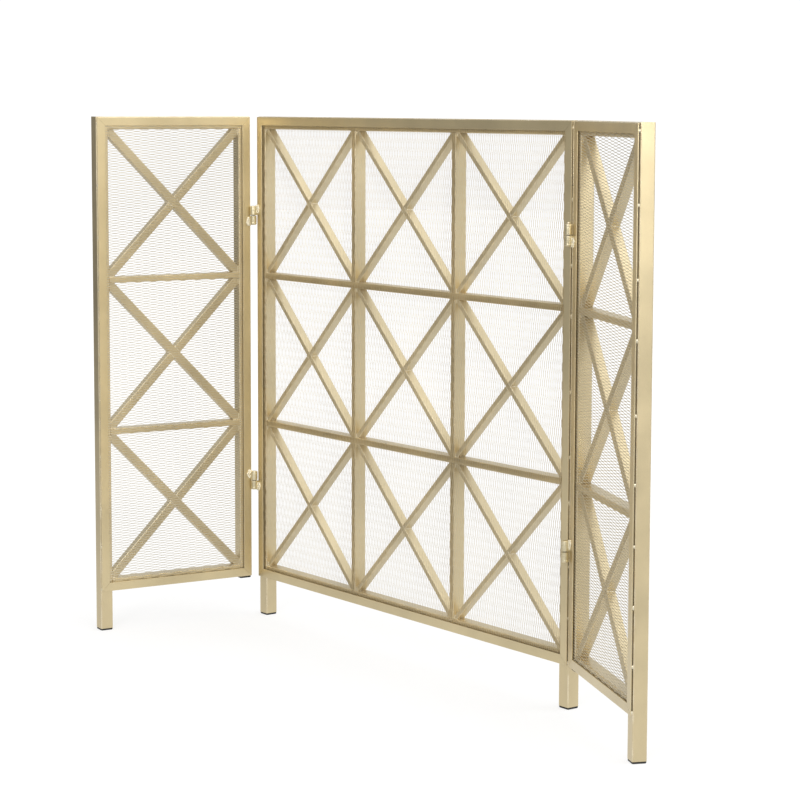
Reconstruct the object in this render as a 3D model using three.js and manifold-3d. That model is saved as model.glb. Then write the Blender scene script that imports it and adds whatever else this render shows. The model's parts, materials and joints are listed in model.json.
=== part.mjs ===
// Three-panel folding fireplace screen: a wide middle panel with a leg at each end and two narrow
// wings, each hung on a pair of weld-on barrel hinges.
// Millimetres, +Z up. The meshed (hearth) side of the middle panel faces -Y, its room side +Y.
// The exported group stands on z = 0 with the middle of its bounding box over the origin.

import * as THREE from 'three';
import { mergeVertices } from 'three/addons/utils/BufferGeometryUtils.js';
import Module from 'manifold-3d';

const wasm = await Module();
wasm.setup();
const { Manifold, Mesh: SolidMesh } = wasm;

// ---- driving dimensions ---------------------------------------------------------------------

const HEIGHT = 768;             // floor to top edge
const FRAME_BOTTOM = 59;        // underside of the bottom rails
const MIDDLE_WIDTH = 723.5;
const WING_WIDTH = 251.7;
const HINGE_GAP = 2.6;          // between the facing posts of two panels when laid flat
const LEFT_FOLD = 83.2;         // degrees each wing is swung from flat, towards the meshed side
const RIGHT_FOLD = 24.2;

const FIT = 0.3;                // gap left at every welded or resting contact
const OVERSHOOT = 1;            // how far a cut or a buried end runs past the metal it meets

const TUBE = 19;                // square frame tube
const TUBE_WALL = 1.2;
const BAR_FACE = 9;             // inner rails and mullions, seen face on
const BAR_WALL = 1;
// Diagonal braces; setback is from the meshed face of the tubes to the braces.
const MIDDLE_BRACE = { face: 7.5, depth: 13, setback: 2.5 };
const WING_BRACE = { face: 12.7, depth: 12.7, setback: 3 };
const BRACE_WALL = 0.9;
const ROWS = 3;                 // cells one above the other in each panel

const MESH_PLATE = 0.25;        // solid plate with the weight of the expanded sheet
const MESH_SETBACK = 2;         // from a panel's outer edge to the sheet's edge
const MESH_SPACE = 1.2;         // room for the sheet between the tubes and the retaining frame
const RETAINER_FACE = 12.7;
const RETAINER_THICKNESS = 1.5;
const RETAINER_SETBACK = 0.8;   // from a panel's outer edge
const RETAINER_OUT = FIT + MESH_SPACE + RETAINER_THICKNESS;     // its front, from the tubes' meshed face

const CAP_SIDE = 18.6;          // plastic end caps
const CAP_FLANGE = 2.5;
const CAP_PLUG_SIDE = 15.8;
const CAP_PLUG_HEIGHT = 13;

const LEFT_HINGES = { upper: 618, lower: 210 };    // heights of the hinges' joint lines
const RIGHT_HINGES = { upper: 622, lower: 212 };
const HINGE_AXIS_OUT = 8.7;     // axis in front of the tubes' meshed face
const BARREL_RADIUS = 5;
const BARREL_LENGTH = 14.8;     // one half
const BARREL_CHAMFER = 1;
const BARREL_PLAY = 0.4;        // between the two halves
const FOOT_NEAR = 2.4;          // foot of a barrel half, from the middle of the gap between posts
const FOOT_FAR = 4.6;
const FOOT_FRONT = 1.2;         // its start behind the hinge axis, inside the barrel
const PIN_RADIUS = 2.4;
const PIN_CLEARANCE = 0.1;
const PIN_END = 2.5;            // solid metal left beyond each end of the pin
const ROUND_SIDES = 24;

// ---- materials ------------------------------------------------------------------------------

const champagne = () => new THREE.MeshStandardMaterial({ color: 0xb9a880, roughness: 0.42, metalness: 0.75 });
const sheetGold = () => new THREE.MeshStandardMaterial({ color: 0xae9f7c, roughness: 0.5, metalness: 0.7 });
const hingeGold = () => new THREE.MeshStandardMaterial({ color: 0xcdb583, roughness: 0.25, metalness: 0.9 });
const pinSteel = () => new THREE.MeshStandardMaterial({ color: 0x8d8f92, roughness: 0.3, metalness: 1 });
const blackPlastic = () => new THREE.MeshStandardMaterial({ color: 0x1b1a18, roughness: 0.6, metalness: 0 });

// ---- solids ---------------------------------------------------------------------------------

function toSolid(geometry) {
  const bare = geometry.index ? geometry.toNonIndexed() : geometry.clone();
  bare.deleteAttribute('normal');
  bare.deleteAttribute('uv');
  const merged = mergeVertices(bare, 1e-4);
  return new Manifold(new SolidMesh({
    numProp: 3,
    vertProperties: Float32Array.from(merged.attributes.position.array),
    triVerts: Uint32Array.from(merged.index.array),
  }));
}

function toGeometry(solid) {
  const { vertProperties, triVerts, numProp } = solid.getMesh();
  const positions = new Float32Array((vertProperties.length / numProp) * 3);
  for (let v = 0; v < positions.length / 3; v += 1) {
    for (let k = 0; k < 3; k += 1) positions[3 * v + k] = vertProperties[numProp * v + k];
  }
  const geometry = new THREE.BufferGeometry();
  geometry.setAttribute('position', new THREE.BufferAttribute(positions, 3));
  geometry.setIndex(new THREE.BufferAttribute(Uint32Array.from(triVerts), 1));
  geometry.computeVertexNormals();
  return geometry;
}

// A block between two corners.
function block([x0, y0, z0], [x1, y1, z1]) {
  const geometry = new THREE.BoxGeometry(x1 - x0, y1 - y0, z1 - z0);
  geometry.translate((x0 + x1) / 2, (y0 + y1) / 2, (z0 + z1) / 2);
  return toSolid(geometry);
}

// A block of the given length along X, centred on the origin and leaning in the XZ plane.
function leaningBlock(length, face, y0, y1, angle, x, z) {
  const geometry = new THREE.BoxGeometry(length, y1 - y0, face);
  geometry.translate(0, (y0 + y1) / 2, 0);
  geometry.rotateY(-angle);
  geometry.translate(x, 0, z);
  return toSolid(geometry);
}

// A solid of revolution about Z from [radius, height] pairs that start and end on the axis.
function turned(profile) {
  const geometry = new THREE.LatheGeometry(profile.map(([r, z]) => new THREE.Vector2(r, z)), ROUND_SIDES);
  geometry.rotateX(Math.PI / 2);
  return toSolid(geometry);
}

const cylinder = (radius, z0, z1) => turned([[0, z0], [radius, z0], [radius, z1], [0, z1]]);

function named(name, solid, material) {
  const mesh = new THREE.Mesh(toGeometry(solid), material);
  mesh.name = name;
  return mesh;
}

// ---- square tube pieces of one panel ---------------------------------------------------------
// In a panel x runs from its left edge to its right edge, y from the meshed face of the tubes (0)
// to the room face (TUBE), and z is the height above the floor.

function hollowUpright(x0, x1, z0, z1, wall) {
  const tube = block([x0, 0, z0], [x1, TUBE, z1]);
  const room = block([x0 + wall, wall, z0 - OVERSHOOT], [x1 - wall, TUBE - wall, z1 + OVERSHOOT]);
  return tube.subtract(room);
}

function hollowLevel(x0, x1, z0, z1, wall) {
  const tube = block([x0, 0, z0], [x1, TUBE, z1]);
  const room = block([x0 - OVERSHOOT, wall, z0 + wall], [x1 + OVERSHOOT, TUBE - wall, z1 - wall]);
  return tube.subtract(room);
}

// What a 45 degree mitre takes off a post (keep = -1) or off the top rail (keep = 1) at the top
// corner over x = edge. side is -1 at a panel's left edge and +1 at its right edge.
function mitreWaste(edge, side, keep) {
  const reach = 4 * TUBE;
  const waste = new THREE.BoxGeometry(reach, reach, reach);
  waste.translate(0, 0, (-keep * (reach - FIT)) / 2);
  waste.rotateY(-side * (Math.PI / 4));
  waste.translate(edge, TUBE / 2, HEIGHT);
  return toSolid(waste);
}

function post(panel, side, hasLeg) {
  const edge = side < 0 ? 0 : panel.width;
  const x0 = side < 0 ? 0 : panel.width - TUBE;
  const foot = hasLeg ? CAP_FLANGE + FIT : FRAME_BOTTOM;
  return hollowUpright(x0, x0 + TUBE, foot, HEIGHT, TUBE_WALL).subtract(mitreWaste(edge, side, -1));
}

function topRail(panel) {
  return hollowLevel(0, panel.width, HEIGHT - TUBE, HEIGHT, TUBE_WALL)
    .subtract(mitreWaste(0, -1, 1))
    .subtract(mitreWaste(panel.width, 1, 1));
}

const bottomRail = (panel) =>
  hollowLevel(TUBE + FIT, panel.width - TUBE - FIT, FRAME_BOTTOM, FRAME_BOTTOM + TUBE, TUBE_WALL);

// ---- grid of rails, mullions and cells -------------------------------------------------------

// Starts of n equal cells that share a span with a bar between neighbours.
function divide(start, end, count) {
  const cell = (end - start - (count - 1) * BAR_FACE) / count;
  return { cell, starts: Array.from({ length: count }, (_, i) => start + i * (cell + BAR_FACE)) };
}

const rows = divide(FRAME_BOTTOM + TUBE, HEIGHT - TUBE, ROWS);
const columnsOf = (panel) => divide(TUBE, panel.width - TUBE, panel.columns);

// Rails and mullions are halved into each other: the rail runs through at the meshed side.
function midRail(panel, row) {
  const z0 = rows.starts[row] + rows.cell;
  let rail = hollowLevel(TUBE + FIT, panel.width - TUBE - FIT, z0, z0 + BAR_FACE, BAR_WALL);
  for (const start of columnsOf(panel).starts.slice(1)) {
    const slot = block(
      [start - BAR_FACE - FIT, TUBE / 2, z0 - OVERSHOOT],
      [start + FIT, TUBE + OVERSHOOT, z0 + BAR_FACE + OVERSHOOT],
    );
    rail = rail.subtract(slot);
  }
  return rail;
}

function mullion(panel, column) {
  const x1 = columnsOf(panel).starts[column + 1];
  const x0 = x1 - BAR_FACE;
  let bar = hollowUpright(x0, x1, FRAME_BOTTOM + TUBE + FIT, HEIGHT - TUBE - FIT, BAR_WALL);
  for (const start of rows.starts.slice(1)) {
    const slot = block(
      [x0 - OVERSHOOT, -OVERSHOOT, start - BAR_FACE - FIT],
      [x1 + OVERSHOOT, TUBE / 2 + FIT, start + FIT],
    );
    bar = bar.subtract(slot);
  }
  return bar;
}

// One diagonal runs through and the other is two halves welded to it, cut to the cell's corners.
function xBrace(panel, row, column) {
  const { cell, starts } = columnsOf(panel);
  const x0 = starts[column];
  const z0 = rows.starts[row];
  const middle = [x0 + cell / 2, z0 + rows.cell / 2];
  const lean = Math.atan2(rows.cell, cell);
  const length = 2 * Math.hypot(cell, rows.cell);
  const { face, depth, setback: front } = panel.brace;
  const back = front + depth;
  const core = face - 2 * BRACE_WALL;
  const through = leaningBlock(length, face, front, back, -lean, ...middle);
  const halves = leaningBlock(length, face, front, back, lean, ...middle);
  const throughCore = leaningBlock(length, core, front + BRACE_WALL, back - BRACE_WALL, -lean, ...middle);
  const halvesCore = leaningBlock(length, core, front + BRACE_WALL, back - BRACE_WALL, lean, ...middle);
  const cellRoom = block([x0 + FIT, 0, z0 + FIT], [x0 + cell - FIT, TUBE, z0 + rows.cell - FIT]);
  return through.add(halves)
    .subtract(halvesCore.subtract(through))
    .subtract(throughCore)
    .intersect(cellRoom);
}

// ---- mesh, retaining frame and plastic caps --------------------------------------------------

function meshSheet(panel) {
  const middle = -(FIT + MESH_SPACE) / 2;
  return block(
    [MESH_SETBACK, middle - MESH_PLATE / 2, FRAME_BOTTOM + MESH_SETBACK],
    [panel.width - MESH_SETBACK, middle + MESH_PLATE / 2, HEIGHT - MESH_SETBACK],
  );
}

function retainer(panel) {
  const back = RETAINER_THICKNESS - RETAINER_OUT;
  const front = -RETAINER_OUT;
  const inner = RETAINER_SETBACK + RETAINER_FACE;
  return block(
    [RETAINER_SETBACK, front, FRAME_BOTTOM + RETAINER_SETBACK],
    [panel.width - RETAINER_SETBACK, back, HEIGHT - RETAINER_SETBACK],
  ).subtract(block(
    [inner, front - OVERSHOOT, FRAME_BOTTOM + inner],
    [panel.width - inner, back + OVERSHOOT, HEIGHT - inner],
  ));
}

// A square flange under the tube with a plug up inside it.
function endCap(panel, side, flangeTop) {
  const x = side < 0 ? TUBE / 2 : panel.width - TUBE / 2;
  const y = TUBE / 2;
  const flange = CAP_SIDE / 2;
  const plug = CAP_PLUG_SIDE / 2;
  const pad = block([x - flange, y - flange, flangeTop - CAP_FLANGE], [x + flange, y + flange, flangeTop]);
  const pegTop = flangeTop + CAP_PLUG_HEIGHT;
  return pad.add(block([x - plug, y - plug, flangeTop - OVERSHOOT], [x + plug, y + plug, pegTop]));
}

// ---- one whole panel -------------------------------------------------------------------------

// side: -1 left wing, 0 middle panel, +1 right wing. A post carries a leg unless a hinge joins it
// to a panel that stands on its own leg.
function buildPanel(panel) {
  const group = new THREE.Group();
  const add = (name, solid, material) => group.add(named(`${panel.name}_${name}`, solid, material));

  [-1, 1].forEach((side, i) => {
    const hasLeg = panel.side === 0 || panel.side === side;
    const name = panel.posts[i];
    add(name, post(panel, side, hasLeg), champagne());
    const flangeTop = hasLeg ? CAP_FLANGE : FRAME_BOTTOM - FIT;
    add(`${name}_${hasLeg ? 'foot' : 'plug'}`, endCap(panel, side, flangeTop), blackPlastic());
  });
  add('top_rail', topRail(panel), champagne());
  add('bottom_rail', bottomRail(panel), champagne());
  for (let row = 0; row < ROWS - 1; row += 1) {
    add(`${['lower', 'upper'][row]}_rail`, midRail(panel, row), champagne());
  }
  for (let column = 0; column < panel.columns - 1; column += 1) {
    add(`${['left', 'right'][column]}_mullion`, mullion(panel, column), champagne());
  }
  for (let row = 0; row < ROWS; row += 1) {
    for (let column = 0; column < panel.columns; column += 1) {
      const place = panel.columns > 1 ? `_${['left', 'centre', 'right'][column]}` : '';
      add(`x_brace_${['bottom', 'middle', 'top'][row]}${place}`, xBrace(panel, row, column), champagne());
    }
  }
  add('mesh', meshSheet(panel), sheetGold());
  add('mesh_retainer', retainer(panel), champagne());
  return group;
}

// ---- hinges ----------------------------------------------------------------------------------

// Half of a barrel hinge about the Z axis, with its mouth at the joint line z = 0 and a foot that
// reaches back to the retaining frame of the panel on that side. up is +1 for the upper half.
function hingeHalf(side, up) {
  const mouth = (up * BARREL_PLAY) / 2;
  const end = up * BARREL_LENGTH;
  const ease = up * BARREL_CHAMFER;
  const profile = [[0, mouth], [BARREL_RADIUS, mouth], [BARREL_RADIUS, end - ease],
    [BARREL_RADIUS - BARREL_CHAMFER, end], [0, end]];
  const barrel = turned(up > 0 ? profile : profile.reverse());
  const [left, right] = side < 0 ? [-FOOT_FAR, -FOOT_NEAR] : [FOOT_NEAR, FOOT_FAR];
  const foot = block(
    [left, FOOT_FRONT, Math.min(mouth, end - ease)],
    [right, HINGE_AXIS_OUT - RETAINER_OUT - FIT, Math.max(mouth, end - ease)],
  );
  const boreEnd = end - up * (PIN_END - PIN_CLEARANCE);
  const boreStart = mouth - up * OVERSHOOT;
  const boreEnds = [Math.min(boreStart, boreEnd), Math.max(boreStart, boreEnd)];
  const bore = cylinder(PIN_RADIUS + PIN_CLEARANCE, ...boreEnds);
  return barrel.add(foot).subtract(bore);
}

const hingePin = () => cylinder(PIN_RADIUS, PIN_END - BARREL_LENGTH, BARREL_LENGTH - PIN_END);

// ---- assembly --------------------------------------------------------------------------------

const screen = new THREE.Group();

const middleGroup = buildPanel({
  name: 'middle', side: 0, width: MIDDLE_WIDTH, columns: 3, brace: MIDDLE_BRACE,
  posts: ['left_post', 'right_post'],
});
middleGroup.position.x = -MIDDLE_WIDTH / 2;
screen.add(middleGroup);

const wings = [['left_wing', -1, LEFT_FOLD, LEFT_HINGES], ['right_wing', 1, RIGHT_FOLD, RIGHT_HINGES]];
for (const [name, side, fold, hinges] of wings) {
  const axis = new THREE.Group();
  axis.position.set(side * (MIDDLE_WIDTH + HINGE_GAP) / 2, -HINGE_AXIS_OUT, 0);
  const wingTurn = new THREE.Group();
  wingTurn.rotation.z = THREE.MathUtils.degToRad(-side * fold);
  axis.add(wingTurn);

  const posts = side < 0 ? ['outer_post', 'hinge_post'] : ['hinge_post', 'outer_post'];
  const wing = buildPanel({ name, side, width: WING_WIDTH, columns: 1, brace: WING_BRACE, posts });
  wing.position.x = side < 0 ? -HINGE_GAP / 2 - WING_WIDTH : HINGE_GAP / 2;
  wing.position.y = HINGE_AXIS_OUT;
  wingTurn.add(wing);

  // The middle panel holds the upper half of the upper hinge and the lower half of the lower one.
  for (const [place, middleUp] of [['upper', 1], ['lower', -1]]) {
    const label = `${name.replace('_wing', '')}_${place}_hinge`;
    const middleHalf = named(`${label}_middle_half`, hingeHalf(-side, middleUp), hingeGold());
    const wingHalf = named(`${label}_wing_half`, hingeHalf(side, -middleUp), hingeGold());
    const pin = named(`${label}_pin`, hingePin(), pinSteel());
    for (const piece of [middleHalf, wingHalf, pin]) piece.position.z = hinges[place];
    axis.add(middleHalf, pin);
    wingTurn.add(wingHalf);
  }
  screen.add(axis);
}

// Stand the screen on z = 0 with the middle of its bounding box over the origin.
screen.updateMatrixWorld(true);
const bounds = new THREE.Box3().setFromObject(screen, true);
const centre = bounds.getCenter(new THREE.Vector3());
for (const child of screen.children) {
  child.position.x -= centre.x;
  child.position.y -= centre.y;
}

export default screen;
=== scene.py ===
"""Looks of the three-panel folding fireplace screen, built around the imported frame.

Lengths in the builders below are millimetres in a panel's own frame: x runs from the panel's left
edge to its right edge seen from the meshed side, y from the meshed face of its tubes (0) to the room
face (TUBE), and z is the height above the floor. Each finished piece is scaled to metres in place.
"""

import json
import math
import random

import bpy
import numpy as np
from mathutils import Matrix, Vector


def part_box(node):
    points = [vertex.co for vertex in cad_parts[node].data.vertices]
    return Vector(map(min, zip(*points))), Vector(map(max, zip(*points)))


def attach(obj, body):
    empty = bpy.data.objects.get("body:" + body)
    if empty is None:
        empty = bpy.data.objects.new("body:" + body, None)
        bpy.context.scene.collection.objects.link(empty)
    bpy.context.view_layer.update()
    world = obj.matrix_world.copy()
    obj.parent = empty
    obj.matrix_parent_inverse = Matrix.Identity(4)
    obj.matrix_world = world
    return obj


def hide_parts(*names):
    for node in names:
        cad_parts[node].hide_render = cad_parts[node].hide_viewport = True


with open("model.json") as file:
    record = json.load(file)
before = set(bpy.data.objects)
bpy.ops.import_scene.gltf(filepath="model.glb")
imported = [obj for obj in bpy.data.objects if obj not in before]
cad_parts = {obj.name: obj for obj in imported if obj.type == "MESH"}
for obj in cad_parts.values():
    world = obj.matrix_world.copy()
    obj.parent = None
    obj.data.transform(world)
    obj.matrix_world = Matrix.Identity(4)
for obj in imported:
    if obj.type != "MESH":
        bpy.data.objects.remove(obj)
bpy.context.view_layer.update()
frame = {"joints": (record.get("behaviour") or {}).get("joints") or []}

MM = 0.001

# ---- dimensions shared with the CAD model -----------------------------------------------------

HEIGHT = 768
FRAME_BOTTOM = 59
MIDDLE_WIDTH = 723.5
WING_WIDTH = 251.7
HINGE_GAP = 2.6
HINGE_AXIS_OUT = 8.7
LEFT_FOLD = 83.2
RIGHT_FOLD = 24.2

TUBE = 19
TUBE_WALL = 1.2
BAR_FACE = 9
MIDDLE_BRACE = (7.5, 13, 2.5)       # face, depth, setback from the meshed face
WING_BRACE = (12.7, 12.7, 3)
ROWS = 3

SHEET_SETBACK = 2
SHEET_MIDDLE = -0.75
RETAINER_FACE = 12.7
RETAINER_BACK = -1.5
RETAINER_FRONT = -3.0
RETAINER_SETBACK = 0.8

CAP_SIDE = 18.6
CAP_FLANGE = 2.5
CAP_PLUG_SIDE = 15.8
CAP_PLUG_HEIGHT = 13
CAP_GAP = 0.3              # between a cap's flange and the end of its tube

LEFT_HINGES = {"upper": 618, "lower": 210}
RIGHT_HINGES = {"upper": 622, "lower": 212}
BARREL_RADIUS = 5
BARREL_LENGTH = 14.8
BARREL_PLAY = 0.4
PIN_RADIUS = 2.4
PIN_END = 2.5
FOOT_NEAR = 2.4            # strip that a barrel half is welded by: its two sides, then its front
FOOT_FAR = 4.6
FOOT_FRONT = 1.2

# ---- dimensions of the finish -----------------------------------------------------------------

TUBE_CORNER = 1.7
BAR_CORNER = 1.1
BRACE_CORNER = 1.3
RETAINER_CORNER = 0.45
CAP_CORNER = 2.2
CORNER_STEPS = 4

CAP_RIB = 0.8              # how far a plug's ribs stand out of its core
DOME_HEIGHT = 1.9          # rounded end of a barrel half
GROOVE_FROM_END = 4.2      # turned ring near that end

LONG_WAY = 24.4            # expanded sheet: pitch of its openings along and across them
SHORT_WAY = 3.8
STRAND = 0.55              # width of a strand
BOND = 4.4                 # length of the metal that joins two openings' sides
SHEET_GAUGE = 0.2
SHEET_RISE = 0.43          # how far each strand is turned out of the sheet's plane
SHEET_MARGIN = 4           # plain strip left round the sheet's edge

WELD_EDGE = 0.35           # edge value of weld metal
TACK_HEIGHTS = (63, 119, 191, 265, 339, 422, 511, 583, 671, 758)   # up a retaining frame's sides
TACK_STEP = (72, 90)       # least and most between tacks along its top and bottom
TACK_INSET = 0.9           # from the tubes' outer edge
TACK_STRAY = 9             # how far a tack strays from its height
TACK_STEADY = 300          # tacks farther than this from mid-height stay where they are

random.seed(433)


# ---- meshes -----------------------------------------------------------------------------------

class Shape:
    """Points, faces and an edge value from 0 on flat metal to 1 on an outer corner."""

    def __init__(self):
        self.points, self.faces, self.edge = [], [], []

    def add(self, points, faces, edge=None):
        start = len(self.points)
        self.points += [tuple(p) for p in points]
        self.faces += [[start + i for i in f] for f in faces]
        self.edge += list(edge) if edge is not None else [0.0] * len(points)


def rounded(width, depth, radius, steps=CORNER_STEPS):
    """Outline of a rounded rectangle about the origin as (a, b, edge value), anticlockwise.
    Each side also has a point at its middle."""
    outline = []
    w, d = width / 2, depth / 2
    for k, (sa, sb) in enumerate(((1, 1), (-1, 1), (-1, -1), (1, -1))):
        ca, cb = sa * (w - radius), sb * (d - radius)
        for i in range(steps + 1):
            turn = math.radians(90 * k + 90 * i / steps)
            value = math.sin(math.pi * i / steps)
            outline.append((ca + radius * math.cos(turn), cb + radius * math.sin(turn), value))
        middle = ((0, d), (-w, 0), (0, -d), (w, 0))[k]
        outline.append((middle[0], middle[1], 0.0))
    return outline


def at(cut, a, b):
    return cut(a, b) if callable(cut) else cut


def prism(shape, outline, place, start, end, inner=None):
    """A prism over an outline, from start to end along t. start and end may be functions of (a, b).
    With an inner outline of as many points the prism is a tube with open ends."""
    n = len(outline)
    loops = [outline, outline] if inner is None else [outline, outline, inner, inner]
    points, edge = [], []
    for k, loop in enumerate(loops):
        cut = (start, end, end, start)[k]
        for a, b, value in loop:
            points.append(place(a, b, at(cut, a, b)))
            edge.append(value if k < 2 else 0.0)
    faces = []
    sides = 1 if inner is None else 4
    for k in range(sides):
        low, high = k * n, ((k + 1) % len(loops)) * n
        for i in range(n):
            j = (i + 1) % n
            faces.append([low + i, low + j, high + j, high + i])
    if inner is None:
        faces.append(list(range(n))[::-1])
        faces.append(list(range(n, 2 * n)))
    shape.add(points, faces, edge)


def bead(shape, path, radius, ripple=0.16, sides=8, lie=None):
    """A weld bead along a path: a ripply rope of metal with blunt ends. lie flattens it along an axis."""
    path = [Vector(p) for p in path]
    lengths = [0.0]
    for p, q in zip(path, path[1:]):
        lengths.append(lengths[-1] + (q - p).length)
    total = lengths[-1]
    count = max(4, int(round(total / (radius * 0.55))))
    rings = []
    for i in range(count + 1):
        along = total * i / count
        k = max(j for j in range(len(lengths) - 1) if lengths[j] <= along + 1e-9)
        span = lengths[k + 1] - lengths[k]
        centre = path[k].lerp(path[k + 1], (along - lengths[k]) / span)
        direction = (path[k + 1] - path[k]).normalized()
        taper = math.sqrt(max(0.0, 1 - (2 * i / count - 1) ** 6)) if 0 < i < count else 0.0
        wave = 1 + ripple * math.cos(2 * math.pi * i / 3.1) + random.uniform(-0.07, 0.07)
        rings.append((centre, direction, radius * wave * max(taper, 0.22)))
    points, faces, edge = [], [], []
    for centre, direction, size in rings:
        side = direction.cross(Vector((0.31, 0.52, 0.79))).normalized()
        other = direction.cross(side)
        for i in range(sides):
            turn = 2 * math.pi * i / sides
            step = (side * math.cos(turn) + other * math.sin(turn)) * size
            if lie is not None:
                step -= lie * step.dot(lie) * 0.45
            points.append(centre + step)
            edge.append(WELD_EDGE)
    for k in range(len(rings) - 1):
        for i in range(sides):
            j = (i + 1) % sides
            faces.append([k * sides + i, k * sides + j, (k + 1) * sides + j, (k + 1) * sides + i])
    faces.append(list(range(sides))[::-1])
    faces.append([(len(rings) - 1) * sides + i for i in range(sides)])
    shape.add(points, faces, edge)


def blob(shape, centre, size, rough=0.1, steps=6):
    """A lump of weld metal: an uneven ellipsoid with half sizes given along x, y and z."""
    points, faces = [], []
    around = 2 * steps
    phase = random.uniform(0, 6.28)
    for k in range(1, steps):
        lat = math.pi * k / steps
        for i in range(around):
            lon = 2 * math.pi * i / around
            swell = 1 + rough * math.sin(3 * lon + phase) * math.sin(2 * lat + phase)
            points.append((
                centre[0] + size[0] * swell * math.sin(lat) * math.cos(lon),
                centre[1] + size[1] * swell * math.sin(lat) * math.sin(lon),
                centre[2] + size[2] * math.cos(lat),
            ))
    top, bottom = len(points), len(points) + 1
    points += [(centre[0], centre[1], centre[2] + size[2]), (centre[0], centre[1], centre[2] - size[2])]
    for k in range(steps - 2):
        for i in range(around):
            j = (i + 1) % around
            faces.append([k * around + i, (k + 1) * around + i, (k + 1) * around + j, k * around + j])
    last = (steps - 2) * around
    for i in range(around):
        j = (i + 1) % around
        faces.append([top, i, j])
        faces.append([bottom, last + j, last + i])
    shape.add(points, faces, [WELD_EDGE] * len(points))


def lathe(shape, profile, centre, sides=40, closed=False):
    """A solid of revolution about a vertical axis from (radius, height, edge value) points."""
    points, faces, edge = [], [], []
    for i in range(sides):
        turn = 2 * math.pi * i / sides
        for r, z, value in profile:
            points.append((centre[0] + r * math.cos(turn), centre[1] + r * math.sin(turn), centre[2] + z))
            edge.append(value)
    n = len(profile)
    steps = n if closed else n - 1
    for i in range(sides):
        j = (i + 1) % sides
        for k in range(steps):
            m = (k + 1) % n
            faces.append([i * n + k, j * n + k, j * n + m, i * n + m])
    if not closed:
        faces.append([i * n for i in range(sides)][::-1])
        faces.append([i * n + n - 1 for i in range(sides)])
    shape.add(points, faces, edge)


# ---- panels -----------------------------------------------------------------------------------

JOINTS = {j["name"]: j for j in frame["joints"]}


class Panel:
    def __init__(self, name, body, side, width, columns, brace, matrix):
        self.name, self.body, self.side = name, body, side
        self.width, self.columns, self.matrix = width, columns, matrix
        self.brace_face, self.brace_depth, self.brace_front = brace
        self.brace_back = self.brace_front + self.brace_depth


def wing_matrix(side, fold):
    pos = JOINTS["left_wing_fold" if side < 0 else "right_wing_fold"]["pos_m"]
    inner = -HINGE_GAP / 2 - WING_WIDTH if side < 0 else HINGE_GAP / 2
    local = Matrix.Translation(Vector((inner, HINGE_AXIS_OUT, 0)) * MM)
    turn = Matrix.Rotation(math.radians(-side * fold), 4, "Z")
    return Matrix.Translation(Vector((pos[0], pos[1], 0))) @ turn @ local


middle_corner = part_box("middle_left_post")[0]
MIDDLE = Panel("middle", "middle_panel", 0, MIDDLE_WIDTH, 3, MIDDLE_BRACE,
               Matrix.Translation(Vector((middle_corner.x, middle_corner.y, 0))))
LEFT = Panel("left_wing", "left_wing", -1, WING_WIDTH, 1, WING_BRACE, wing_matrix(-1, LEFT_FOLD))
RIGHT = Panel("right_wing", "right_wing", 1, WING_WIDTH, 1, WING_BRACE, wing_matrix(1, RIGHT_FOLD))
PANELS = (MIDDLE, LEFT, RIGHT)


def piece(name, shape, matrix, body, material, nodes=(), sharp=38, weighted=True):
    """One finished object: its mesh in place, its material and body, and the nodes it replaces."""
    mesh = bpy.data.meshes.new(name)
    mesh.from_pydata([Vector(p) * MM for p in shape.points], [], shape.faces)
    mesh.validate()
    value = mesh.attributes.new("edge", "FLOAT", "POINT")
    value.data.foreach_set("value", np.array(shape.edge, np.float32))
    mesh.transform(matrix)
    obj = bpy.data.objects.new(name, mesh)
    bpy.context.scene.collection.objects.link(obj)
    mesh.materials.append(material)
    mesh.shade_smooth()
    mesh.set_sharp_from_angle(angle=math.radians(sharp))
    if weighted:
        modifier = obj.modifiers.new("weighted_normals", "WEIGHTED_NORMAL")
        modifier.keep_sharp = True
    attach(obj, body)
    if nodes:
        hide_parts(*nodes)


# ---- materials --------------------------------------------------------------------------------

def linear(r, g, b):
    """Linear colour from 0-255 sRGB values."""
    def one(c):
        c /= 255
        return c / 12.92 if c <= 0.04045 else ((c + 0.055) / 1.055) ** 2.4
    return (one(r), one(g), one(b), 1.0)


def scaled(tone, share):
    """A colour made darker or lighter, opaque, with no channel above 1."""
    return tuple(min(1.0, c * share) for c in tone[:3]) + (1.0,)


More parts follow.
